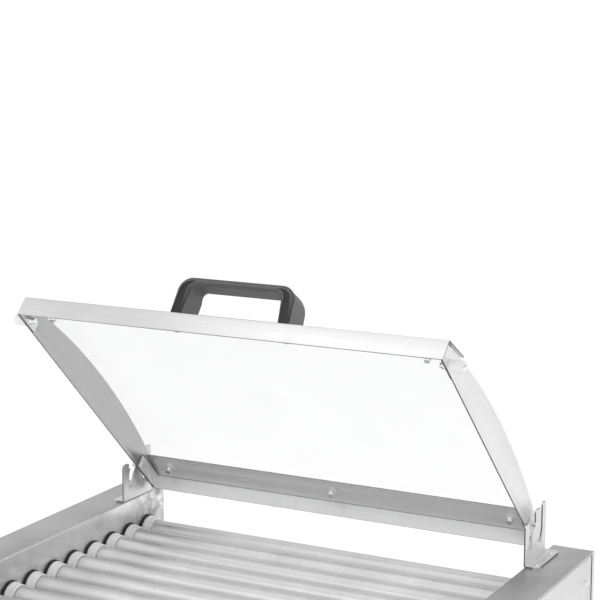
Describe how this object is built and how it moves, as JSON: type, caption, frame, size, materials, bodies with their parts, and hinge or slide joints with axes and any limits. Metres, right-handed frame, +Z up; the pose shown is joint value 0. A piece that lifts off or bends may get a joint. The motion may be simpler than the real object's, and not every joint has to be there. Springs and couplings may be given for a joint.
{
  "type": "hot dog roller grill",
  "caption": "Counter-top roller grill: heated tubes between two steel side casings, driven by a chain, under a lift-up bent glass lid, with a drip tray and controls in front.",
  "frame": {"origin": "centre of the overall box in plan, on the surface the machine stands on", "axes": "+X to the operator's right along the tubes, +Y to the back, +Z up"},
  "size_m": [0.5432, 0.451, 0.4746],
  "materials": {
    "brushed_steel_casing": "brushed stainless sheet",
    "brushed_steel_lid": "brushed stainless sheet, fine grain along its length",
    "tray_steel": "satin stainless",
    "tube_steel": "ground stainless tube",
    "bright_fasteners": "polished stainless",
    "white_nylon": "white nylon and fluoropolymer",
    "black_rubber": "black silicone rubber",
    "black_plastic": "black moulded heat-proof plastic, fine satin texture",
    "rocker_plastic": "green translucent rocker",
    "lamp_lens": "amber lens",
    "clear_glass": "clear bent safety glass",
    "chain_steel": "oiled carbon steel",
    "motor_steel": "zinc plated pressing",
    "element_sheath": "heat-tinted sheath",
    "terminal_plastic": "white polyamide"
  },
  "bodies": {
    "base": {"side_casing_left": "brushed_steel_casing", "side_casing_right": "brushed_steel_casing", "side_cover_left": "brushed_steel_casing", "side_cover_right": "brushed_steel_casing", "rear_panel": "brushed_steel_casing", "front_panel": "brushed_steel_casing", "base_pan": "brushed_steel_casing", "lid_bracket_left": "brushed_steel_lid", "lid_bracket_right": "brushed_steel_lid", "tray_runners": "tray_steel", "rod_bracket_left": "tray_steel", "rod_bracket_right": "tray_steel", "bracket_screws": "bright_fasteners", "cover_screws": "bright_fasteners", "bushes_left": "white_nylon", "bushes_right": "white_nylon", "rubber_feet": "black_rubber", "seal_rings_left": "black_rubber", "seal_rings_right": "black_rubber", "switch_housings": "black_plastic", "cable_gland": "black_plastic", "pilot_lamps": "lamp_lens", "drive_chain": "chain_steel", "gear_motor": "motor_steel", "thermostats": "motor_steel", "heating_rods": "element_sheath", "terminal_block": "terminal_plastic"},
    "lid": {"lid_arm_left": "brushed_steel_lid", "lid_arm_right": "brushed_steel_lid", "lid_front_bar": "brushed_steel_lid", "lid_rear_bar": "brushed_steel_lid", "lid_glass": "clear_glass", "clamp_screws": "bright_fasteners", "domed_nuts": "bright_fasteners", "clamp_washers": "white_nylon", "lid_handle": "black_plastic", "handle_screws": "bright_fasteners", "lid_stops": "white_nylon", "lid_stop_screws": "bright_fasteners", "lid_pivot_pins": "bright_fasteners", "lid_latch_pins": "bright_fasteners"},
    "tray": {"drip_tray": "tray_steel", "tray_pull": "tray_steel"},
    "front_zone_knob": {"knob_left": "black_plastic"},
    "rear_zone_knob": {"knob_right": "black_plastic"},
    "heat_rocker": {"rocker_left": "rocker_plastic"},
    "turning_rocker": {"rocker_right": "rocker_plastic"},
    "motor_output": {"drive_sprocket": "chain_steel"},
    "roller_1_tube": {"roller_1": "tube_steel"},
    "roller_2_tube": {"roller_2": "tube_steel"},
    "roller_3_tube": {"roller_3": "tube_steel"},
    "roller_4_tube": {"roller_4": "tube_steel"},
    "roller_5_tube": {"roller_5": "tube_steel"},
    "roller_6_tube": {"roller_6": "tube_steel"},
    "roller_7_tube": {"roller_7": "tube_steel"},
    "roller_8_tube": {"roller_8": "tube_steel"},
    "roller_9_tube": {"roller_9": "tube_steel"}
  },
  "joints": [
    {"name": "lid_hinge", "type": "hinge", "parent": "base", "child": "lid", "pos_m": [0, 0.16353, 0.21148], "axis": [1, 0, 0], "range_deg": [0, 47]},
    {"name": "roller_1_spin", "type": "hinge", "parent": "base", "child": "roller_1_tube", "pos_m": [0, -0.1121, 0.153], "axis": [1, 0, 0], "continuous": true},
    {"name": "roller_2_spin", "type": "hinge", "parent": "base", "child": "roller_2_tube", "pos_m": [0, -0.0771, 0.153], "axis": [1, 0, 0], "continuous": true},
    {"name": "roller_3_spin", "type": "hinge", "parent": "base", "child": "roller_3_tube", "pos_m": [0, -0.0421, 0.153], "axis": [1, 0, 0], "continuous": true},
    {"name": "roller_4_spin", "type": "hinge", "parent": "base", "child": "roller_4_tube", "pos_m": [0, -0.0071, 0.153], "axis": [1, 0, 0], "continuous": true},
    {"name": "roller_5_spin", "type": "hinge", "parent": "base", "child": "roller_5_tube", "pos_m": [0, 0.0279, 0.153], "axis": [1, 0, 0], "continuous": true},
    {"name": "roller_6_spin", "type": "hinge", "parent": "base", "child": "roller_6_tube", "pos_m": [0, 0.0629, 0.153], "axis": [1, 0, 0], "continuous": true},
    {"name": "roller_7_spin", "type": "hinge", "parent": "base", "child": "roller_7_tube", "pos_m": [0, 0.0979, 0.153], "axis": [1, 0, 0], "continuous": true},
    {"name": "roller_8_spin", "type": "hinge", "parent": "base", "child": "roller_8_tube", "pos_m": [0, 0.1329, 0.153], "axis": [1, 0, 0], "continuous": true},
    {"name": "roller_9_spin", "type": "hinge", "parent": "base", "child": "roller_9_tube", "pos_m": [0, 0.1679, 0.153], "axis": [1, 0, 0], "continuous": true},
    {"name": "motor_spin", "type": "hinge", "parent": "base", "child": "motor_output", "pos_m": [0.258, 0.03236, 0.08421], "axis": [1, 0, 0], "continuous": true},
    {"name": "tray_slide", "type": "slide", "parent": "base", "child": "tray", "axis": [0, -1, 0], "range_m": [0, 0.36]},
    {"name": "front_zone_knob_turn", "type": "hinge", "parent": "base", "child": "front_zone_knob", "pos_m": [-0.13, -0.2015, 0.136], "axis": [0, 1, 0], "range_deg": [0, 270]},
    {"name": "rear_zone_knob_turn", "type": "hinge", "parent": "base", "child": "rear_zone_knob", "pos_m": [0.13, -0.2015, 0.136], "axis": [0, 1, 0], "range_deg": [0, 270]},
    {"name": "heat_rocker_tilt", "type": "hinge", "parent": "base", "child": "heat_rocker", "pos_m": [-0.032, -0.1985, 0.136], "axis": [1, 0, 0], "range_deg": [-22, 0]},
    {"name": "turning_rocker_tilt", "type": "hinge", "parent": "base", "child": "turning_rocker", "pos_m": [0.032, -0.1985, 0.136], "axis": [1, 0, 0], "range_deg": [-22, 0]}
  ],
  "couplings": [
    {"joint": "roller_2_spin", "follows": "roller_1_spin", "ratio": 1},
    {"joint": "roller_3_spin", "follows": "roller_1_spin", "ratio": 1},
    {"joint": "roller_4_spin", "follows": "roller_1_spin", "ratio": 1},
    {"joint": "roller_5_spin", "follows": "roller_1_spin", "ratio": 1},
    {"joint": "roller_6_spin", "follows": "roller_1_spin", "ratio": 1},
    {"joint": "roller_7_spin", "follows": "roller_1_spin", "ratio": 1},
    {"joint": "roller_8_spin", "follows": "roller_1_spin", "ratio": 1},
    {"joint": "roller_9_spin", "follows": "roller_1_spin", "ratio": 1},
    {"joint": "motor_spin", "follows": "roller_1_spin", "ratio": 1}
  ]
}
